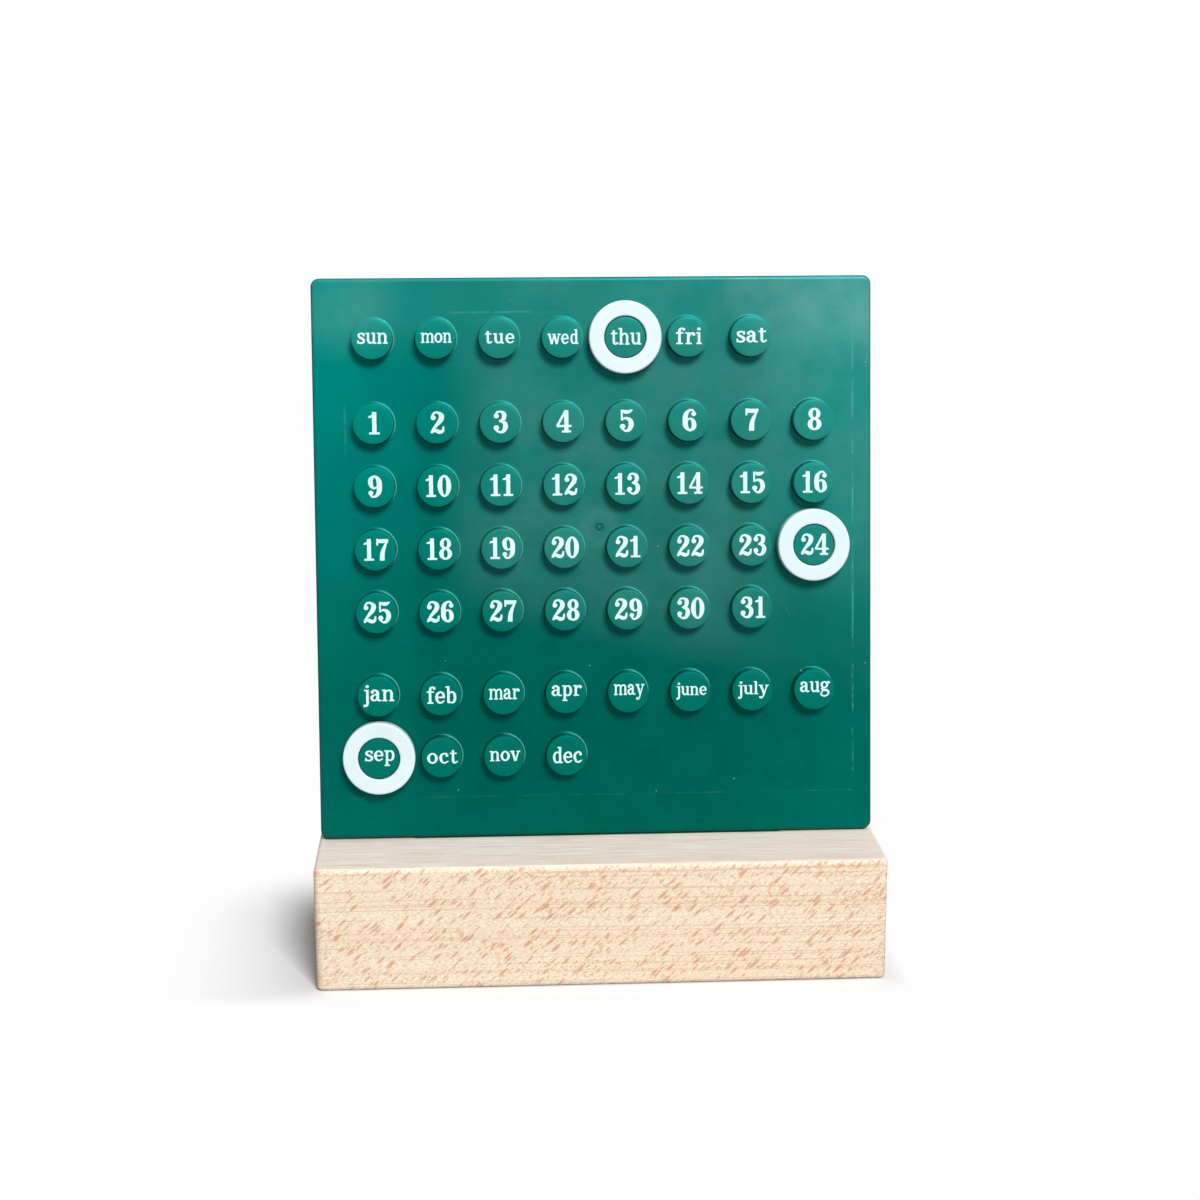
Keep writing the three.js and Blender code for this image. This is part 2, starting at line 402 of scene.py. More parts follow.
def calendar_panel(material):
    bm = bmesh.new()
    panel_shell(bm)
    landing(bm, (0, 0, 1))
    face = face_towards(bm, (0, 0, 1))
    pocket_floor = face_towards(bm, (0, 0, -1))
    gate = Vector((GATE_ACROSS, GATE_HEIGHT, 0))
    holes = [(place, stud_profile()[0][0], STUD_STEPS) for place in ALL_PLACES]
    pierce(bm, face, holes + [(gate, gate_profile()[0][0], GATE_STEPS)], 0)
    pierce(bm, pocket_floor, [(place, CORE_RADIUS, CORE_STEPS) for place in ALL_PLACES], -SKIN)
    add(bm, turned(stud_profile(), STUD_STEPS), ALL_PLACES)
    add(bm, turned(gate_profile(), GATE_STEPS), [gate])
    add(bm, turned(core_profile(), CORE_STEPS), ALL_PLACES)
    bmesh.ops.remove_doubles(bm, verts=bm.verts, dist=WELD)
    bmesh.ops.recalc_face_normals(bm, faces=bm.faces)
    panel_ribs(bm)
    panel_tongue(bm)
    piece = finished(bm, "panel_moulding", material, "panel", PANEL_PLACE)
    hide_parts("calendar_panel")
    return piece


# Rings

def marker_ring(name, node, body, place, material):
    outer = RING_RADIUS - RING_EDGE
    inner = RING_BORE + RING_BORE_EDGE
    profile = [
        *arc(outer, RING_EDGE, RING_EDGE, -1, 0),
        *arc(outer, RING_THICKNESS - RING_EDGE, RING_EDGE, 0, 1),
        (outer - LANDING, RING_THICKNESS),
        (inner + LANDING, RING_THICKNESS),
        *arc(inner, RING_THICKNESS - RING_BORE_EDGE, RING_BORE_EDGE, 1, 2),
        (RING_BORE, RING_RELIEF),
        (RING_BORE + RING_RELIEF, 0),
    ]
    seat = PANEL_PLACE @ Matrix.Translation(place + Vector((0, 0, SEAT_GAP)))
    ring = turned(profile + profile[:1], RING_STEPS)
    piece = finished(ring, name, material, body, seat)
    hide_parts(node)
    return piece


# Block

def slot_mouth():
    """Where the middle of the tongue meets the block's top."""
    middle = PANEL_PLACE @ Vector((0, 0, -PANEL_THICKNESS / 2))
    return middle + UP * ((block_high.z - middle.z) / UP.z)


def base_block(material):
    bm = bmesh.new()
    verts = block_of(bm, block_low, block_high)
    bevel(bm, edges_along(verts, (0, 0, 1)), BLOCK_CORNER, 5)
    for way in ((0, 0, 1), (0, 0, -1)):
        bevel(bm, list(face_towards(bm, way).edges), BLOCK_ARRIS, 4)
    for way in ((0, 0, 1), (0, 0, -1), (0, 1, 0), (0, -1, 0), (1, 0, 0), (-1, 0, 0)):
        landing(bm, way)

    top = face_towards(bm, (0, 0, 1))
    rim = list(top.edges)
    bmesh.ops.delete(bm, geom=[top], context="FACES_ONLY")
    length = TONGUE_LENGTH + 2 * SLOT_CLEARANCE
    width = (TONGUE_THICKNESS + 2 * SLOT_CLEARANCE) / math.cos(LEAN)
    place = Matrix.Translation(slot_mouth()) @ Matrix.Diagonal((length / 2, width / 2, 1, 1))
    mouth = bmesh.ops.create_grid(bm, x_segments=1, y_segments=1, size=1, matrix=place)["verts"]
    bevel(bm, mouth, width * SLOT_END_SHARE, 8, affect="VERTICES")
    floor = next(face for face in bm.faces if all(edge.is_boundary for edge in face.edges))
    slot_rim = list(floor.edges)
    deeper = bmesh.ops.extrude_face_region(bm, geom=[floor])["geom"]
    lowered = [item for item in deeper if isinstance(item, bmesh.types.BMVert)]
    bmesh.ops.translate(bm, verts=lowered, vec=UP * -SLOT_DEPTH)
    bmesh.ops.delete(bm, geom=[floor], context="FACES_ONLY")
    bmesh.ops.triangle_fill(bm, use_beauty=True, use_dissolve=False, edges=rim + slot_rim)
    piece = finished(bm, "beech_block", material, "base")
    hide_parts("base_block")
    return piece


# Printing: letters and numerals as broad pen strokes on a grid, each with its advance

def line(x0, y0, x1, y1, width):
    """A straight stroke with square ends."""
    along = Vector((x1 - x0, y1 - y0)).normalized() * width / 2
    side = Vector((-along.y, along.x))
    start, end = Vector((x0, y0)), Vector((x1, y1))
    return [[start - side, end - side, end + side, start + side]]


def stem(x, low, high, width=1.85):
    return line(x, low, x, high, width)


def slab(low, high, y, width=1.15):
    return line(low, y, high, y, width)


def dot(x, y, radius, steps=16):
    angles = [2 * math.pi * i / steps for i in range(steps)]
    return [[Vector((x + radius * math.cos(a), y + radius * math.sin(a))) for a in angles]]


def pen(*points):
    """A curved stroke through points of (x, y, width), with round ends."""
    samples = []
    for i in range(len(points) - 1):
        before, start, end, after = (
            Vector(points[max(i - 1, 0)]), Vector(points[i]),
            Vector(points[i + 1]), Vector(points[min(i + 2, len(points) - 1)]))
        for step in range(PEN_STEPS):
            t = step / PEN_STEPS
            samples.append((
                2 * start + (end - before) * t + (2 * before - 5 * start + 4 * end - after) * t ** 2
                + (3 * start - before - 3 * end + after) * t ** 3) / 2)
    samples.append(Vector(points[-1]))
    pieces = []
    for here, there in zip(samples, samples[1:]):
        along = (there.xy - here.xy).normalized()
        side = Vector((-along.y, along.x)) / 2
        pieces.append([
            here.xy - side * here.z, there.xy - side * there.z,
            there.xy + side * there.z, here.xy + side * here.z])
    for x, y, width in samples:
        pieces += dot(x, y, width / 2, 12)
    return pieces


def loop(x, y, across, along, side, top):
    """A closed round stroke with heavy sides and a light top and foot."""
    angles = [2 * math.pi * i / 12 for i in range(15)]
    return pen(*[
        (x + across * math.cos(a), y + along * math.sin(a),
         top + (side - top) * math.cos(a) ** 2) for a in angles])


def half_turned(pieces, width, height):
    return [[Vector((width - point.x, height - point.y)) for point in piece] for piece in pieces]


LEFT_STEM = stem(2.2, 0, 10) + slab(0.2, 2.3, 9.4)
TALL_STEM = stem(2.2, 0, 14) + slab(0.2, 2.3, 13.4)
ARCH = pen((2.6, 7.2, 1.1), (4.0, 8.9, 1.2), (5.8, 9.2, 1.5), (7.0, 7.6, 1.8), (7.1, 5, 1.85))
RIGHT_BOWL = pen(
    (2.2, 7.4, 1.0), (3.9, 9.2, 1.2), (6.0, 8.6, 1.7), (6.9, 5, 1.95), (6.0, 1.4, 1.7),
    (3.9, 0.7, 1.2), (2.2, 2.2, 1.0))
LEFT_BOWL = half_turned(RIGHT_BOWL, 9.0, 10)
SIX = (
    dot(9.3, 15.7, 2.0)
    + pen((9.8, 16.4, 1.6), (8.4, 18.9, 1.7), (5.6, 18.8, 2.0), (2.9, 15.4, 3.7), (2.3, 10, 4.2),
          (2.9, 4.4, 3.8), (6.0, 1.0, 1.8), (9.0, 3.2, 3.4), (9.5, 6.2, 3.9), (8.6, 9.8, 3.0),
          (6.4, 11.6, 1.6), (3.8, 10.0, 1.4)))

GLYPHS = {
    "a": (8.6, dot(1.9, 7.7, 1.1) + pen((1.3, 8.2, 1.2), (2.6, 9.3, 1.3), (4.2, 9.3, 1.5),
                                       (5.6, 7.9, 2.0), (5.7, 5, 2.0), (5.7, 2.4, 2.0),
                                       (6.5, 0.8, 1.5), (8.0, 0.8, 1.2))
          + pen((5.5, 5.9, 1.2), (3.2, 5.4, 1.4), (1.5, 4.0, 1.9), (1.5, 2.1, 1.9),
                (2.9, 0.8, 1.4), (4.6, 1.4, 1.2), (5.6, 2.6, 1.1))),
    "b": (8.6, stem(2.0, 0.4, 14) + slab(0, 2.1, 13.4) + RIGHT_BOWL),
    "c": (7.6, dot(6.1, 7.4, 1.15)
          + pen((6.6, 7.8, 1.0), (5.6, 9.1, 1.3), (3.9, 9.3, 1.3), (1.8, 7.6, 1.9), (1.4, 4.9, 2.1),
                (2.3, 1.8, 1.8), (4.4, 0.7, 1.4), (6.8, 2.1, 1.1))),
    "d": (9.2, stem(6.9, 0, 14) + slab(4.9, 7, 13.4) + slab(7, 9, 0.6) + LEFT_BOWL),
    "e": (8.2, pen((6.8, 2.1, 1.1), (4.6, 0.7, 1.4), (2.4, 1.6, 1.8), (1.4, 4.9, 2.1),
                   (2.1, 7.9, 1.7), (4.2, 9.3, 1.3), (6.1, 8.2, 1.8), (6.8, 5.6, 1.7))
          + slab(1.6, 7.6, 5.1, 1.2)),
    "f": (6.2, stem(2.8, 0, 11) + slab(0.6, 5.2, 0.6) + slab(0.4, 5.6, 9.4)
          + pen((2.8, 10.6, 1.85), (3.2, 12.5, 1.7), (4.6, 13.3, 1.3), (5.8, 12.9, 1.4))
          + dot(5.9, 12.4, 1.1)),
    "g": (8.8, loop(3.8, 6.8, 2.4, 2.6, 1.9, 1.3) + dot(7.8, 8.9, 1.0)
          + pen((5.6, 8.6, 1.2), (7.0, 9.5, 1.2), (7.8, 9.3, 1.2))
          + pen((2.4, 4.5, 1.2), (1.7, 3.1, 1.5), (3.0, 2.1, 2.0), (5.8, 1.7, 2.1), (7.3, 0.0, 1.8),
                (6.6, -2.4, 1.4), (4.2, -3.7, 1.3), (1.5, -2.9, 1.5), (1.0, -1.2, 1.3),
                (1.9, 0.6, 1.1), (3.0, 1.8, 1.1))),
    "h": (9.4, TALL_STEM + slab(0.4, 4, 0.6) + ARCH + stem(7.1, 0, 5.4) + slab(5.3, 9, 0.6)),
    "i": (4.6, LEFT_STEM + slab(0.4, 4.2, 0.6) + dot(2.1, 12.7, 1.3)),
    "j": (4.4, slab(0.3, 2.7, 9.4) + stem(2.7, -2, 10) + dot(0.7, -3.5, 1.05)
          + pen((2.7, -1.6, 1.85), (2.2, -3.4, 1.6), (0.9, -4.2, 1.2)) + dot(2.6, 12.7, 1.3)),
    "l": (4.6, TALL_STEM + slab(0.4, 4.2, 0.6)),
    "m": (13.8, LEFT_STEM + slab(0.4, 3.9, 0.6) + ARCH[:] + stem(7.1, 0, 5.4) + slab(5.4, 8.8, 0.6)
          + [[point + Vector((4.8, 0)) for point in piece] for piece in ARCH]
          + stem(11.9, 0, 5.4) + slab(10.2, 13.6, 0.6)),
    "n": (9.4, LEFT_STEM + slab(0.4, 4, 0.6) + ARCH + stem(7.1, 0, 5.4) + slab(5.3, 9, 0.6)),
    "o": (8.6, loop(4.3, 5, 3.0, 4.3, 2.1, 1.4)),
    "p": (8.8, stem(2.2, -4.4, 9.9) + slab(0.2, 2.3, 9.4) + slab(0.3, 4.3, -3.9)
          + [[point + Vector((0.2, 0)) for point in piece] for piece in RIGHT_BOWL]),
    "r": (7.0, LEFT_STEM + slab(0.4, 4.6, 0.6) + dot(6.0, 8.2, 1.2)
          + pen((2.7, 6.8, 1.2), (3.8, 8.6, 1.3), (5.2, 9.4, 1.3), (6.2, 9.0, 1.2))),
    "s": (7.0, pen((5.7, 7.4, 1.3), (4.9, 9.0, 1.3), (3.2, 9.3, 1.4), (1.6, 8.1, 1.8),
                   (2.1, 6.2, 2.0), (4.2, 4.9, 2.1), (5.7, 3.4, 2.0), (5.3, 1.4, 1.7),
                   (3.3, 0.7, 1.4), (1.5, 1.3, 1.3), (1.0, 2.8, 1.2))
          + stem(5.9, 6.8, 9.6, 1.1) + stem(1.0, 0.3, 3.2, 1.1)),
    "t": (6.2, stem(2.6, 2.2, 12.2) + slab(0.3, 5.6, 9.4)
          + pen((2.6, 2.8, 2.0), (3.0, 1.2, 1.8), (4.2, 0.7, 1.4), (5.8, 1.8, 1.1))),
    "u": (9.2, slab(0.2, 2.3, 9.4) + stem(2.2, 3.2, 10) + slab(5, 7, 9.4) + stem(7, 0, 10)
          + slab(7, 8.9, 0.6)
          + pen((2.2, 3.6, 2.0), (3.0, 1.3, 1.8), (4.6, 0.8, 1.4), (6.4, 2.0, 1.2),
                (6.9, 3.0, 1.2))),
    "v": (9.0, line(1.8, 9.8, 4.7, 0.1, 2.1) + line(7.4, 9.8, 4.9, 0.1, 1.3)
          + slab(0, 3.7, 9.4) + slab(5.7, 9, 9.4)),
    "w": (13.0, line(1.7, 9.8, 4.2, 0.1, 2.0) + line(6.6, 9.8, 4.4, 0.1, 1.3)
          + line(6.6, 9.8, 9.0, 0.1, 2.0) + line(11.3, 9.8, 9.2, 0.1, 1.3)
          + slab(0, 3.4, 9.4) + slab(5, 7.8, 9.4) + slab(9.8, 12.9, 9.4)),
    "y": (9.0, line(1.8, 9.8, 4.9, 0.2, 2.1) + slab(0, 3.7, 9.4) + slab(5.7, 9, 9.4)
          + pen((7.5, 9.2, 1.1), (5.0, 1.0, 1.2), (3.9, -2.2, 1.3), (2.5, -3.9, 1.3),
                (1.3, -3.7, 1.2))
          + dot(1.4, -3.2, 1.1)),
    "0": (12.2, loop(6.1, 10, 3.9, 9.1, 4.2, 1.8)),
    "1": (10.8, stem(5.6, 0.6, 19.8, 3.5) + slab(1.4, 9.8, 0.9, 1.8)
          + pen((5.2, 18.4, 1.6), (3.8, 16.2, 1.8), (1.7, 15.4, 1.8))),
    "2": (12.4, dot(2.9, 14.4, 2.1)
          + pen((1.9, 15.2, 1.8), (3.4, 18.4, 1.8), (6.4, 19.0, 2.0), (9.4, 16.6, 3.8),
                (9.0, 12.6, 4.0), (5.6, 8.0, 2.8), (2.4, 3.8, 1.8), (1.6, 1.4, 1.8))
          + pen((1.6, 1.6, 2.0), (4.4, 3.2, 2.8), (7.4, 1.8, 3.4), (10.2, 2.4, 2.4),
                (11.0, 6.0, 1.6))),
    "3": (12.4, dot(2.9, 15.2, 2.1) + dot(2.8, 4.9, 2.2)
          + pen((2.2, 16.2, 1.6), (3.6, 18.6, 1.8), (6.2, 19.1, 1.8), (9.0, 17.2, 3.4),
                (8.8, 12.8, 3.2), (5.6, 10.8, 1.6))
          + pen((5.6, 10.8, 1.6), (9.4, 9.2, 3.2), (10.1, 5.4, 3.9), (8.4, 1.9, 3.0),
                (5.4, 0.9, 1.8), (2.0, 3.2, 1.6))),
    "4": (13.0, stem(8.4, 0.6, 19.8, 3.4) + slab(4.8, 12, 0.95, 1.9) + slab(0.5, 12.5, 5.8, 1.8)
          + line(7.8, 19.2, 1.1, 6.2, 1.9)),
    "5": (12.4, pen((2.6, 18.6, 2.4), (5.4, 17.8, 3.2), (8.2, 18.0, 3.0), (10.4, 19.2, 1.4))
          + stem(2.3, 10.4, 19.6, 1.5) + dot(2.9, 4.9, 2.2)
          + pen((2.4, 10.8, 1.5), (5.2, 12.3, 1.9), (8.8, 10.6, 3.6), (9.9, 6.4, 4.1),
                (8.2, 2.1, 3.2), (5.2, 0.9, 1.8), (2.0, 3.4, 1.6))),
    "6": (12.2, SIX),
    "7": (12.0, stem(1.6, 13.8, 19.9, 1.5) + slab(1.6, 10.9, 17.8, 3.6)
          + pen((10.8, 18.6, 1.6), (8.6, 14.0, 2.2), (6.4, 8.0, 3.6), (5.8, 2.2, 4.2))
          + stem(5.8, 0, 2.6, 4.2)),
    "8": (12.4, loop(6.2, 14.8, 3.2, 4.3, 3.4, 1.7) + loop(6.2, 5.5, 3.7, 4.6, 3.9, 1.8)),
    "9": (12.2, half_turned(SIX, 12.2, 20)),
}


def ink(pieces):
    """The strokes of a sign joined into one thin film, on the grid they are written on."""
    points, faces = [], []
    for piece in pieces:
        faces.append(list(range(len(points), len(points) + len(piece))))
        points += piece
    verts, _, triangles, _, _, sources = delaunay_2d_cdt(points, [], faces, 0, PEN_WELD)
    part = bmesh.new()
    made = [part.verts.new((vert.x, vert.y, 0)) for vert in verts]
    for triangle, source in zip(triangles, sources):
        if source:
            part.faces.new([made[i] for i in triangle])
    bmesh.ops.delete(part, geom=[vert for vert in made if not vert.link_faces], context="VERTS")
    bmesh.ops.dissolve_limit(
        part, angle_limit=math.radians(1), verts=part.verts, edges=part.edges,
        use_dissolve_boundaries=False)
    bmesh.ops.triangulate(part, faces=part.faces)
    film = bmesh.ops.extrude_face_region(part, geom=list(part.faces))["geom"]
    raised = [item for item in film if isinstance(item, bmesh.types.BMVert)]
    bmesh.ops.translate(part, verts=raised, vec=(0, 0, 1))
    mesh = bpy.data.meshes.new("sign")
    part.to_mesh(mesh)
    part.free()
    return mesh


def lettering(name, texts, places, material):
    """One group's printing, each label a little aside of the middle of its stud's crown."""
    bm = bmesh.new()
    sunk = STUD_HEIGHT - STUD_CROWN - INK_SUNK
    for text, place in zip(texts, places):
        if text.isdigit():
            single = len(text) == 1
            unit = NUMERAL_UNIT if single else PAIR_UNIT
            spread = NUMERAL_SPREAD if single else PAIR_SPREAD
            apart = PAIR_APART
        else:
            unit = LETTER_UNIT * WORD_SIZES.get(text, 1)
            fit = PRINT_WIDTH / unit
            natural = sum(GLYPHS[sign][0] for sign in text)
            spread = min(SPREAD_MOST, fit / natural)
            apart = min(APART_MOST, (fit / spread - natural) / (len(text) - 1))
        starts, across = [], 0
        for sign in text:
            starts.append(across)
            across += GLYPHS[sign][0] + apart
        corners = [
            Vector((start + vert.co.x, vert.co.y))
            for start, sign in zip(starts, text) for vert in SIGNS[sign].vertices]
        low, high = (Vector(pick(c[i] for c in corners) for i in range(2)) for pick in (min, max))
        size = Matrix.Diagonal((spread * unit, unit, INK_SUNK + INK_THICKNESS, 1))
        centre = place + Vector((PRINT_SHIFT, PRINT_RISE, sunk))
        middle = (low + high) / 2
        for start, sign in zip(starts, text):
            mesh = SIGNS[sign].copy()
            aside = Matrix.Translation((start - middle.x, -middle.y, 0))
            mesh.transform(Matrix.Translation(centre) @ size @ aside)
            bm.from_mesh(mesh)
            bpy.data.meshes.remove(mesh)
    return finished(bm, name, material, "panel", PANEL_PLACE)


SIGNS = {sign: ink(strokes) for sign, (_, strokes) in GLYPHS.items()}


# Materials: colours as they look on a screen, 0 to 255
GREEN_DEEP = (0, 69, 56)
GREEN = (0, 75, 61)
GREEN_CROWN = (0, 104, 88)
# Painted light: a clearer green where less shade falls
GREEN_PAINTED_LIGHT = (0, 215, 206)
# Partly a haze of handling and partly painted sheen
GREEN_HAZE_AND_SHEEN = (178, 212, 210)
GREEN_MOTTLE = (0, 135, 122)
GREEN_FINE = (20, 150, 138)
# Painted shade along the panel's edge
GREEN_EDGE_SHADE = (0, 40, 36)
# Painted highlight on the panel's upward-looking edge
PAINTED_EDGE_HIGHLIGHT = (90, 215, 200)
# Painted highlight on the side of the studs' roots that faces the lamp
ROOT_HIGHLIGHT = (120, 215, 200)
# The sunken lines drawn lighter in patches
SINK_LINE_PALE = (100, 175, 160)
DUST_GATE = (90, 160, 150)
DUST_SPECK = (225, 235, 230)
WHITE_DEEP = (217, 233, 236)
WHITE = (222, 237, 240)
INK = (214, 242, 243)
INK_THIN = (60, 150, 135)
BEECH_PALE = (255, 250, 230)
BEECH_WARM = (243, 205, 169)
BEECH_BAND = (240, 204, 176)
RAY_TINY = (212, 160, 128)
GRAIN_LINE = (212, 166, 132)
RAY_SMALL = (216, 160, 128)
RAY_LARGE = (214, 156, 122)
TOP_STREAK = (229, 202, 186)
TOP_PALE = (252, 245, 235)
TOP_BAND = (236, 211, 194)
END_EARLY = (232, 200, 166)
END_LATE = (214, 176, 140)
END_PORE = (190, 148, 112)


def colour(red, green, blue):
    """A colour written as it looks on a screen, 0 to 255."""
    shares = [value / 255 for value in (red, green, blue)]
    return (*[c / 12.92 if c < 0.04045 else ((c + 0.055) / 1.055) ** 2.4 for c in shares], 1)


def node(tree, kind, inputs=None, **settings):
    """A node with its settings, and its inputs set to values or linked to sockets."""
    made = tree.nodes.new("ShaderNode" + kind)
    for key, value in settings.items():
        setattr(made, key, value)
    for key, value in (inputs or {}).items():
        if isinstance(value, bpy.types.NodeSocket):
            tree.links.new(value, made.inputs[key])
        else:
            made.inputs[key].default_value = value
    return made


def sums(tree, operation, *values):
    """Two or more values worked into one, from left to right."""
    result = node(tree, "Math", dict(enumerate(values[:2])), operation=operation).outputs[0]
    for value in values[2:]:
        result = node(tree, "Math", {0: result, 1: value}, operation=operation).outputs[0]
    return result


def between(tree, value, low, high, out_low=0, out_high=1):
    """A value's smooth passage between two limits."""
    inputs = {
        "Value": value, "From Min": low, "From Max": high, "To Min": out_low, "To Max": out_high}
    return node(tree, "MapRange", inputs, interpolation_type="SMOOTHSTEP").outputs["Result"]


def noise(tree, vector, scale, detail=2, rough=0.5):
    inputs = {"Vector": vector, "Scale": scale, "Detail": detail, "Roughness": rough}
    return node(tree, "TexNoise", inputs).outputs["Fac"]


def mixed(tree, share, first, second):
    """Two colours mixed, the second by the share given. The node's colour sockets are 6 and 7."""
    made = node(tree, "Mix", data_type="RGBA")
    for number, value in ((0, share), (6, first), (7, second)):
        if isinstance(value, bpy.types.NodeSocket):
            tree.links.new(value, made.inputs[number])
        else:
            made.inputs[number].default_value = value
    return made.outputs[2]


def coated(tree, base, *coats):
    """A colour under thin coats, each a share and a screen colour, in the order they lie."""
    for share, tint in coats:
        base = mixed(tree, share, base, colour(*tint))
    return base


def stretched(tree, vector, scales):
    return node(tree, "Mapping", {"Vector": vector, "Scale": scales}).outputs[0]


def vectors(tree, operation, first, second):
    """Two vectors worked into one."""
    return node(tree, "VectorMath", {0: first, 1: second}, operation=operation).outputs[0]


def distance(tree, place, point):
    return node(tree, "VectorMath", {0: place, 1: point}, operation="DISTANCE").outputs["Value"]


def split(tree, vector):
    """The three parts of a vector."""
    return node(tree, "SeparateXYZ", {0: vector}).outputs


def surface_normal(tree):
    return split(tree, node(tree, "TexCoord").outputs["Normal"])


def millimetres(tree, place=None):
    """Object coordinates in millimetres, those of the panel turned flat as it is drawn."""
    found = node(tree, "TexCoord").outputs["Object"]
    inputs = {"Vector": found, "Scale": (MM, MM, MM)}
    if place:
        inputs.update({"Location": place, "Rotation": (QUARTER - LEAN, 0, 0)})
    return node(tree, "Mapping", inputs, vector_type="TEXTURE").outputs[0]


def new_material(name):
    material = bpy.data.materials.new(name)
    material.use_nodes = True
    tree = material.node_tree
    return material, tree, tree.nodes["Principled BSDF"]


def bumped(tree, height, distance, normal=None):
    inputs = {"Height": height, "Distance": distance, "Strength": 1.0}
    if normal:
        inputs["Normal"] = normal
    return node(tree, "Bump", inputs).outputs["Normal"]


def texture_group():
    """The fine spark texture of a mould: a height, and a mask for its shine."""
    tree = bpy.data.node_groups.new("mould_texture", "ShaderNodeTree")
    tree.interface.new_socket("Place", in_out="INPUT", socket_type="NodeSocketVector")
    tree.interface.new_socket("Grain", in_out="INPUT", socket_type="NodeSocketFloat")
    tree.interface.new_socket("Height", in_out="OUTPUT", socket_type="NodeSocketFloat")
    tree.interface.new_socket("Shine", in_out="OUTPUT", socket_type="NodeSocketFloat")
    given = tree.nodes.new("NodeGroupInput")
    put = tree.nodes.new("NodeGroupOutput")
    place, grain = given.outputs["Place"], given.outputs["Grain"]
    fine = noise(tree, place, grain, 3, 0.6)
    broad = noise(tree, place, sums(tree, "MULTIPLY", grain, 0.02), 3, 0.55)
    tree.links.new(fine, put.inputs["Height"])
    both = sums(tree, "ADD", sums(tree, "MULTIPLY", fine, 0.35), sums(tree, "MULTIPLY", broad, 0.6))
    tree.links.new(both, put.inputs["Shine"])
    return tree


MOULD_TEXTURE = texture_group()


def mould_texture(tree, place, grain):
    made = node(tree, "Group", node_tree=MOULD_TEXTURE)
    tree.links.new(place, made.inputs["Place"])
    made.inputs["Grain"].default_value = grain
    return made.outputs["Height"], made.outputs["Shine"]


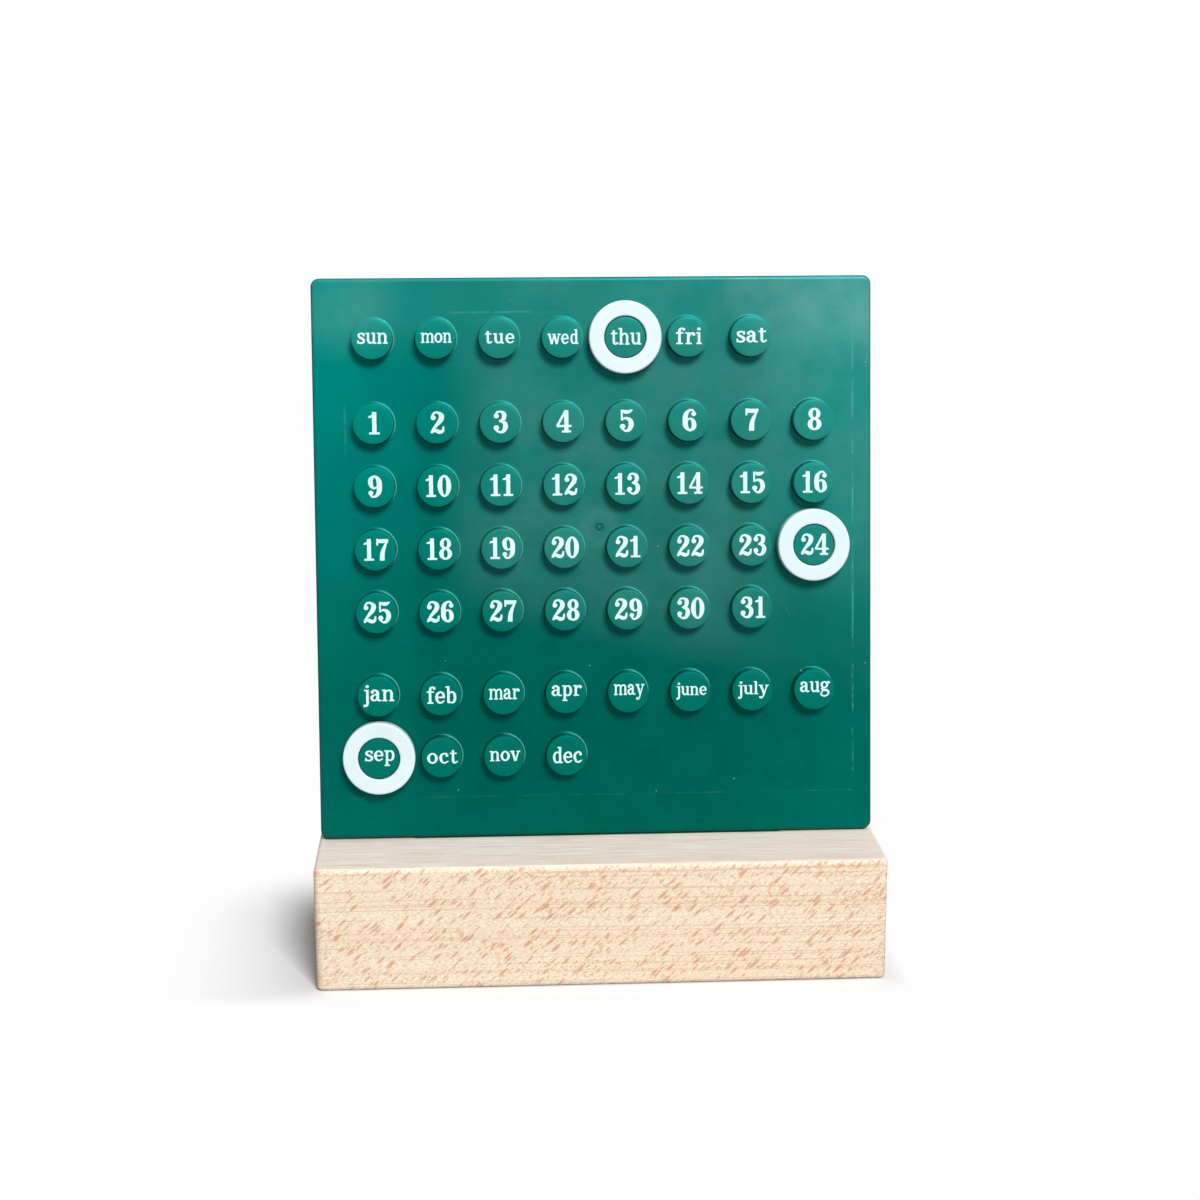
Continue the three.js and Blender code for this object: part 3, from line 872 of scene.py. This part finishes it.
def green_moulding():
    """The panel's plastic. Places are in millimetres across, up and out of the panel's face."""
    material, tree, shader = new_material("green_moulding")
    place = millimetres(tree, FOOT)
    height, shine = mould_texture(tree, place, 4.5)
    x, y, z = split(tree, place)
    facing = surface_normal(tree)

    def band(value, at, width):
        away = sums(tree, "ABSOLUTE", sums(tree, "SUBTRACT", value, at))
        return between(tree, away, width, 0)

    def shared(*values):
        return sums(tree, "MULTIPLY", *values)

    def added(*values):
        return sums(tree, "ADD", *values)

    def most(*values):
        return sums(tree, "MAXIMUM", *values)

    def within(value, low, high):
        above = sums(tree, "GREATER_THAN", value, low)
        return shared(above, sums(tree, "LESS_THAN", value, high))

    # Sunken lines over the rib frame behind the skin, dipped by the bump and drawn lighter in
    # patches
    half = FRAME_RIB / 2
    left, right = (FRAME_LEFT + half) / MM, (FRAME_RIGHT - half) / MM
    foot, top = (FRAME_FOOT + half) / MM, (FRAME_TOP - half) / MM
    width = SINK_WIDTH / MM
    face = sums(tree, "LESS_THAN", z, 0.2)
    crown = between(tree, z, 3.4, 3.7)
    upright = most(band(x, left, width), band(x, right, width))
    level = most(band(y, foot, width), band(y, top, width))
    sink = most(shared(upright, within(y, foot, top)), shared(level, within(x, left, right)))
    sink = shared(sink, face)
    caught = most(
        band(x, right, 2), shared(band(y, top, 2), band(x, -24, 20)),
        shared(band(x, left, 2), band(y, 98, 8)), shared(band(y, foot, 2), 0.15))
    patchy = between(tree, noise(tree, place, 0.12, 4, 0.7), 0.4, 0.62)
    mark = shared(sink, patchy, caught)

    # Gate halo and specks of dust
    from_gate = distance(tree, place, (GATE_ACROSS / MM, GATE_HEIGHT / MM, 0))
    halo = shared(band(from_gate, 3.4, 2.2), face)
    dust = node(
        tree, "TexVoronoi", {"Vector": place, "Scale": 0.06}, feature="F1",
        voronoi_dimensions="2D").outputs
    size = between(tree, split(tree, dust["Color"])[0], 0.5, 1, 0, 0.009)
    speck = sums(tree, "LESS_THAN", dust["Distance"], size)

    # Haze of handling and painted sheen: pale among the studs and towards the top, where it is
    # partly a painted reflection of the lamp; clear green along the sides and towards the top is
    # painted light, lighter where less shade falls
    cloud = between(tree, noise(tree, place, 0.05, 5, 0.6), 0.3, 0.7, 0.5, 1.5)
    low_right = shared(between(tree, x, 18, 56), between(tree, y, 72, 50), 0.85)
    rising = added(y, shared(x, 0.25))
    among = shared(
        between(tree, x, -40, -20), between(tree, rising, 44, 62),
        sums(tree, "SUBTRACT", 1, low_right), between(tree, y, 126, 104, 0.4, 1), 0.045)
    # Painted reflection of the lamp towards the top right and along the top, and a paler patch at
    # the top left
    corner = shared(between(tree, x, 2, 67), between(tree, y, 98, 134), 0.12)
    along_top = shared(between(tree, y, 112, 126), 0.015)
    patch = distance(tree, place, (-58, 128, 0))
    corner = added(corner, between(tree, patch, 16, 3, 0, 0.04))
    aside = sums(tree, "ABSOLUTE", x)
    # Painted light: clearer green towards the sides and the top, where less shade falls
    sides = shared(between(tree, aside, 28, 64), between(tree, y, 20, 134, 0.03, 0.1))
    outer = most(face, shared(crown, 0.8))
    haze_and_sheen = shared(added(among, corner, along_top), cloud, outer)
    upper = between(tree, y, 15, 130, 0, 0.08)
    clear_painted_light = shared(added(sides, shared(among, 0.6), upper, shared(along_top, 2)), outer)

    # Burnished rim of a stud, a painted highlight on the side of its root that faces the lamp,
    # and a painted highlight on the rounds that look up, mostly the panel's top edge
    rim = shared(between(tree, z, 3.65, 3.75), between(tree, z, 3.9, 3.88))
    sunlit = between(tree, added(shared(facing[0], 0.9), shared(facing[2], 0.3)), 0.1, 0.6)
    # Painted highlight on the side of a stud's root fillet that faces right and up, towards the
    # lamp
    root = shared(between(tree, z, 0.02, 0.08), between(tree, z, 0.4, 0.2), sunlit)
    # Painted highlight on rounds that look up at the level of the face, mostly the panel's top edge
    edge_highlight = shared(between(tree, facing[2], 0.3, 0.7), band(z, -0.2, 0.3))
    # Painted shade: a darker band round the panel's outline, on the lower part of its front round
    edge = shared(between(tree, z, -0.1, -0.25), between(tree, z, -1.2, -0.8))

    mottle = between(tree, noise(tree, place, 0.9, 3, 0.6), 0.3, 0.7)
    fine = between(tree, noise(tree, place, 3.2, 2, 0.7), 0.42, 0.68)
    base = coated(
        tree, colour(*GREEN_DEEP),
        (between(tree, shine, 0.35, 0.6), GREEN),
        (shared(crown, 0.7), GREEN_CROWN),
        (clear_painted_light, GREEN_PAINTED_LIGHT),
        (haze_and_sheen, GREEN_HAZE_AND_SHEEN),
        (shared(mottle, 0.05), GREEN_MOTTLE),
        (shared(fine, 0.05), GREEN_FINE),
        (shared(edge_highlight, 0.25), PAINTED_EDGE_HIGHLIGHT),
        (shared(edge, 0.7), GREEN_EDGE_SHADE),
        (shared(root, 0.5), ROOT_HIGHLIGHT),
        (shared(mark, 0.4), SINK_LINE_PALE),
        (shared(halo, 0.10), DUST_GATE),
        (shared(speck, 0.35), DUST_SPECK))
    tree.links.new(base, shader.inputs["Base Color"])
    rough = between(tree, shine, 0.3, 0.7, 0.26, 0.37)
    rough = added(rough, shared(crown, -0.04), shared(rim, 0.3), shared(edge, 0.3))
    tree.links.new(rough, shader.inputs["Roughness"])
    shader.inputs["Specular IOR Level"].default_value = 0.42
    shader.inputs["Specular Tint"].default_value = (0, 0.97, 1, 1)
    first = bumped(tree, height, 0.004 * MM)
    dip = shared(sink, added(shared(caught, 0.75), 0.25))
    relief = sums(tree, "SUBTRACT", 1, most(dip, shared(halo, 0.5)))
    tree.links.new(bumped(tree, relief, 0.012 * MM, first), shader.inputs["Normal"])
    return material


def white_moulding():
    """The rings' plastic."""
    material, tree, shader = new_material("white_moulding")
    place = millimetres(tree)
    height, shine = mould_texture(tree, place, 5.0)
    base = coated(tree, colour(*WHITE_DEEP), (between(tree, shine, 0.35, 0.6), WHITE))
    tree.links.new(base, shader.inputs["Base Color"])
    tree.links.new(between(tree, shine, 0.3, 0.7, 0.48, 0.58), shader.inputs["Roughness"])
    shader.inputs["Specular IOR Level"].default_value = 0.2
    tree.links.new(bumped(tree, height, 0.003 * MM), shader.inputs["Normal"])
    shader.inputs["Subsurface Weight"].default_value = 0.15
    shader.inputs["Subsurface Radius"].default_value = (1, 1, 1)
    shader.inputs["Subsurface Scale"].default_value = 0.5 * MM
    return material


def white_ink():
    """The printing, a little thin in places."""
    material, tree, shader = new_material("white_ink")
    place = millimetres(tree, FOOT)
    height, shine = mould_texture(tree, place, 6.0)
    thin = between(tree, noise(tree, place, 9, 2), 0.55, 0.75)
    base = coated(tree, colour(*INK), (sums(tree, "MULTIPLY", thin, 0.12), INK_THIN))
    tree.links.new(base, shader.inputs["Base Color"])
    tree.links.new(between(tree, shine, 0.3, 0.7, 0.42, 0.55), shader.inputs["Roughness"])
    tree.links.new(bumped(tree, height, 0.004 * MM), shader.inputs["Normal"])
    return material


def flecks(tree, place, length, width, seed):
    """Rays of beech cut aslant: short soft dashes that rise to the right."""
    wobble = sums(tree, "MULTIPLY", noise(tree, place, 1.1, 2), width)
    moved = vectors(tree, "ADD", vectors(tree, "ADD", place, (seed, seed, seed)), wobble)
    inputs = {"Vector": moved, "Scale": (length, length, width), "Rotation": (0, -FLECK_ANGLE, 0)}
    aslant = node(tree, "Mapping", inputs, vector_type="TEXTURE").outputs[0]
    flat = vectors(tree, "MULTIPLY", aslant, (1, 0, 1))
    cells = node(tree, "TexVoronoi", {"Vector": flat, "Scale": 1}, feature="F1").outputs
    reach = between(tree, split(tree, cells["Color"])[0], 0, 1, 0.2, 0.52)
    return between(tree, cells["Distance"], reach, sums(tree, "MULTIPLY", reach, 0.3))


def ruled(tree, level, spacing, start, half_width=0.16):
    """Thin lines at even steps of a level, as the layers of a board cut along its grain."""
    step = sums(tree, "FRACT", sums(tree, "ADD", sums(tree, "DIVIDE", level, spacing), start))
    away = sums(tree, "ABSOLUTE", sums(tree, "SUBTRACT", step, 0.5))
    return between(tree, away, half_width / spacing, 0)


def beech_wood():
    """The block's wood, flecked on its long sides, streaked on top and ringed at its ends."""
    material, tree, shader = new_material("beech")
    place = millimetres(tree)
    x, y, z = split(tree, place)
    facing = surface_normal(tree)

    def shared(*values):
        return sums(tree, "MULTIPLY", *values)

    def long_noise(scales, detail, rough=0.5):
        return noise(tree, stretched(tree, place, scales), 1, detail, rough)

    top = between(tree, sums(tree, "ABSOLUTE", facing[2]), 0.6, 0.85)
    end = between(tree, sums(tree, "ABSOLUTE", facing[0]), 0.9, 0.99)

    # Faces with ray flecks
    bands = between(tree, long_noise((0.008, 0.05, 0.16), 3), 0.38, 0.6)
    rows = between(tree, long_noise((0.012, 0.3, 0.55), 2), 0.4, 0.6)
    large = flecks(tree, place, 4.4, 1.05, 3.1)
    small = flecks(tree, place, 2.4, 0.7, 11.7)
    small = shared(small, between(tree, bands, 0.2, 0.9, 0.4, 1))
    tiny = flecks(tree, place, 1.1, 0.4, 23.9)
    tiny = shared(tiny, between(tree, rows, 0, 1, 0.3, 1))
    wander = shared(long_noise((0.007, 0.05, 0.05), 2), 3)
    level = sums(tree, "ADD", z, shared(y, 0.3), wander)
    lines = [ruled(tree, level, spacing, start) for spacing, start in GRAIN_LINES]
    broken = between(tree, long_noise((0.025, 0.3, 0.5), 3), 0.36, 0.52)
    thin = shared(sums(tree, "MAXIMUM", *lines), broken)
    grain = long_noise((1.1, 3, 5), 4, 0.7)
    front = coated(
        tree, colour(*BEECH_PALE),
        (between(tree, grain, 0.4, 0.62), BEECH_WARM),
        (shared(bands, 0.2), BEECH_BAND),
        (shared(tiny, 0.9), RAY_TINY),
        (shared(thin, 0.6), GRAIN_LINE),
        (shared(small, 0.8), RAY_SMALL),
        (shared(large, 0.85), RAY_LARGE))

    # Quiet streaks of the top
    streak = long_noise((0.06, 2.4, 2.4), 5, 0.8)
    slow = long_noise((0.012, 0.35, 0.35), 2)
    above = coated(
        tree, colour(*TOP_STREAK),
        (between(tree, streak, 0.38, 0.6), TOP_PALE),
        (shared(between(tree, slow, 0.45, 0.6), 0.35), TOP_BAND))

    # End grain: growth rings about the heart of the tree, which lay behind and below the block
    from_heart = vectors(tree, "SUBTRACT", place, (0, 30, -40))
    across = vectors(tree, "MULTIPLY", from_heart, (0, 1, 1))
    radius = node(tree, "VectorMath", {0: across}, operation="LENGTH").outputs["Value"]
    wander = shared(noise(tree, across, 0.06, 2), 6)
    years = sums(tree, "SINE", shared(sums(tree, "ADD", radius, wander), 2.4))
    pores = long_noise((0.1, 5, 5), 3, 0.7)
    ends = coated(
        tree, colour(*END_EARLY),
        (between(tree, years, 0.2, 1), END_LATE),
        (shared(between(tree, pores, 0.5, 0.75), 0.4), END_PORE))

    base = mixed(tree, top, front, above)
    base = mixed(tree, end, base, ends)
    tree.links.new(base, shader.inputs["Base Color"])
    tree.links.new(between(tree, grain, 0.3, 0.7, 0.52, 0.66), shader.inputs["Roughness"])
    shader.inputs["Specular IOR Level"].default_value = 0.35
    relief = sums(tree, "SUBTRACT", grain, shared(large, 0.25))
    tree.links.new(bumped(tree, relief, 0.03 * MM), shader.inputs["Normal"])
    return material


green = green_moulding()
white = white_moulding()
ink_film = white_ink()
beech = beech_wood()

calendar_panel(green)
lettering("lettering_days", DAYS, DAY_PLACES, ink_film)
lettering("lettering_dates", DATES, DATE_PLACES, ink_film)
lettering("lettering_months", MONTHS, MONTH_PLACES, ink_film)
marker_ring("day_marker", "ring_day", "day_ring", DAY_PLACES[DAY_MARKED], white)
marker_ring("date_marker", "ring_date", "date_ring", DATE_PLACES[DATE_MARKED], white)
marker_ring("month_marker", "ring_month", "month_ring", MONTH_PLACES[MONTH_MARKED], white)
base_block(beech)


# Camera, fitted to the photograph: where it stands, where it looks, and its roll. Then the strength
# of the fill and of the white behind the object, the floor's half width, and how far from the block
# the floor's shadow starts and ends to fade, with the share of white it has beside the block.
CAMERA_PLACE = Vector((-27.6, -524.8, 204.6)) * MM
CAMERA_AHEAD = Vector((0.052842, 0.974812, -0.216677))
CAMERA_RIGHT = Vector((0.998506, -0.054599, -0.002126))
CAMERA_LENS = 67.5
FILL = 0.14
BACKDROP = 0.985
FLOOR_HALF = 3
SHADOW_NEAR = 1 * MM
SHADOW_FAR = 38 * MM
SHADOW_LIFT = 0.04


def studio_camera():
    data = bpy.data.cameras.new("camera")
    data.sensor_width = 36
    data.lens = CAMERA_LENS
    data.clip_start = 0.01
    data.clip_end = 20
    camera = bpy.data.objects.new("camera", data)
    back = -CAMERA_AHEAD.normalized()
    right = (CAMERA_RIGHT - CAMERA_RIGHT.dot(back) * back).normalized()
    above = back.cross(right)
    turned = Matrix((right, above, back)).transposed().to_4x4()
    camera.matrix_world = Matrix.Translation(CAMERA_PLACE) @ turned
    bpy.context.scene.collection.objects.link(camera)
    bpy.context.scene.camera = camera


studio_camera()


def lamp(name, place, target, size, power):
    """A softbox aimed at a target, its lengths in metres and its power in watts."""
    data = bpy.data.lights.new(name, "AREA")
    data.shape = "RECTANGLE"
    data.size, data.size_y = size
    data.energy = power
    light = bpy.data.objects.new(name, data)
    place, target = Vector(place), Vector(target)
    aimed = (target - place).to_track_quat("-Z", "Y").to_matrix().to_4x4()
    light.matrix_world = Matrix.Translation(place) @ aimed
    bpy.context.scene.collection.objects.link(light)


def looked_at(tree):
    """Whether a ray comes from the camera or by way of a mirror or glass, and not as light."""
    path = node(tree, "LightPath").outputs
    mirrored = sums(tree, "MAXIMUM", path["Is Glossy Ray"], path["Is Transmission Ray"])
    return sums(tree, "MAXIMUM", path["Is Camera Ray"], mirrored)


def white_room():
    """A plain world, white where the camera looks past the object."""
    world = bpy.data.worlds.new("studio")
    bpy.context.scene.world = world
    world.use_nodes = True
    tree = world.node_tree
    seen = looked_at(tree)
    backdrop = node(tree, "Background", {"Color": (1, 1, 1, 1), "Strength": BACKDROP}).outputs[0]
    fill = tree.nodes["Background"]
    fill.inputs["Color"].default_value = (0.93, 0.97, 1, 1)
    fill.inputs["Strength"].default_value = FILL
    both = node(tree, "MixShader", {0: seen, 1: fill.outputs[0], 2: backdrop}).outputs[0]
    tree.links.new(both, tree.nodes["World Output"].inputs["Surface"])


def floor():
    """A pale floor that keeps the shadow near the object and fades into the white room."""
    material, tree, shader = new_material("floor")
    shader.inputs["Base Color"].default_value = (0.87, 0.87, 0.88, 1)
    shader.inputs["Roughness"].default_value = 0.9
    shader.inputs["Specular IOR Level"].default_value = 0
    place = node(tree, "TexCoord").outputs["Object"]
    right = vectors(tree, "MULTIPLY", vectors(tree, "SUBTRACT", place, block_high), (6, 1, 0))
    left = vectors(tree, "MULTIPLY", vectors(tree, "SUBTRACT", block_low, place), (1, 4, 0))
    beyond = vectors(tree, "MAXIMUM", vectors(tree, "MAXIMUM", left, right), (0, 0, 0))
    away = node(tree, "VectorMath", {0: beyond}, operation="LENGTH")
    fade = between(tree, away.outputs["Value"], SHADOW_NEAR, SHADOW_FAR, SHADOW_LIFT)
    glow = node(tree, "Emission", {"Color": (1, 1, 1, 1), "Strength": BACKDROP}).outputs[0]
    seen = looked_at(tree)
    near = node(tree, "MixShader", {0: fade, 1: shader.outputs[0], 2: glow}).outputs[0]
    dim = node(tree, "BsdfDiffuse", {"Color": (0.3, 0.3, 0.3, 1)}).outputs[0]
    shown = node(tree, "MixShader", {0: seen, 1: dim, 2: near}).outputs[0]
    tree.links.new(shown, tree.nodes["Material Output"].inputs["Surface"])
    bm = bmesh.new()
    bmesh.ops.create_grid(bm, x_segments=1, y_segments=1, size=FLOOR_HALF)
    mesh = bpy.data.meshes.new("floor")
    bm.to_mesh(mesh)
    bm.free()
    mesh.materials.append(material)
    plane = bpy.data.objects.new("floor", mesh)
    bpy.context.scene.collection.objects.link(plane)


lamp("key", (0.54, -2.25, 1.83), (0, 0, 0.09), (0.85, 0.85), 84)
lamp("front", (-0.11, -1.58, 0.70), (0, 0, 0.09), (0.5, 0.5), 0.5)
lamp("above", (0.30, -0.20, 1.20), (0, 0, 0.06), (0.7, 0.7), 3)
white_room()
floor()
bpy.context.scene.view_settings.view_transform = "Standard"
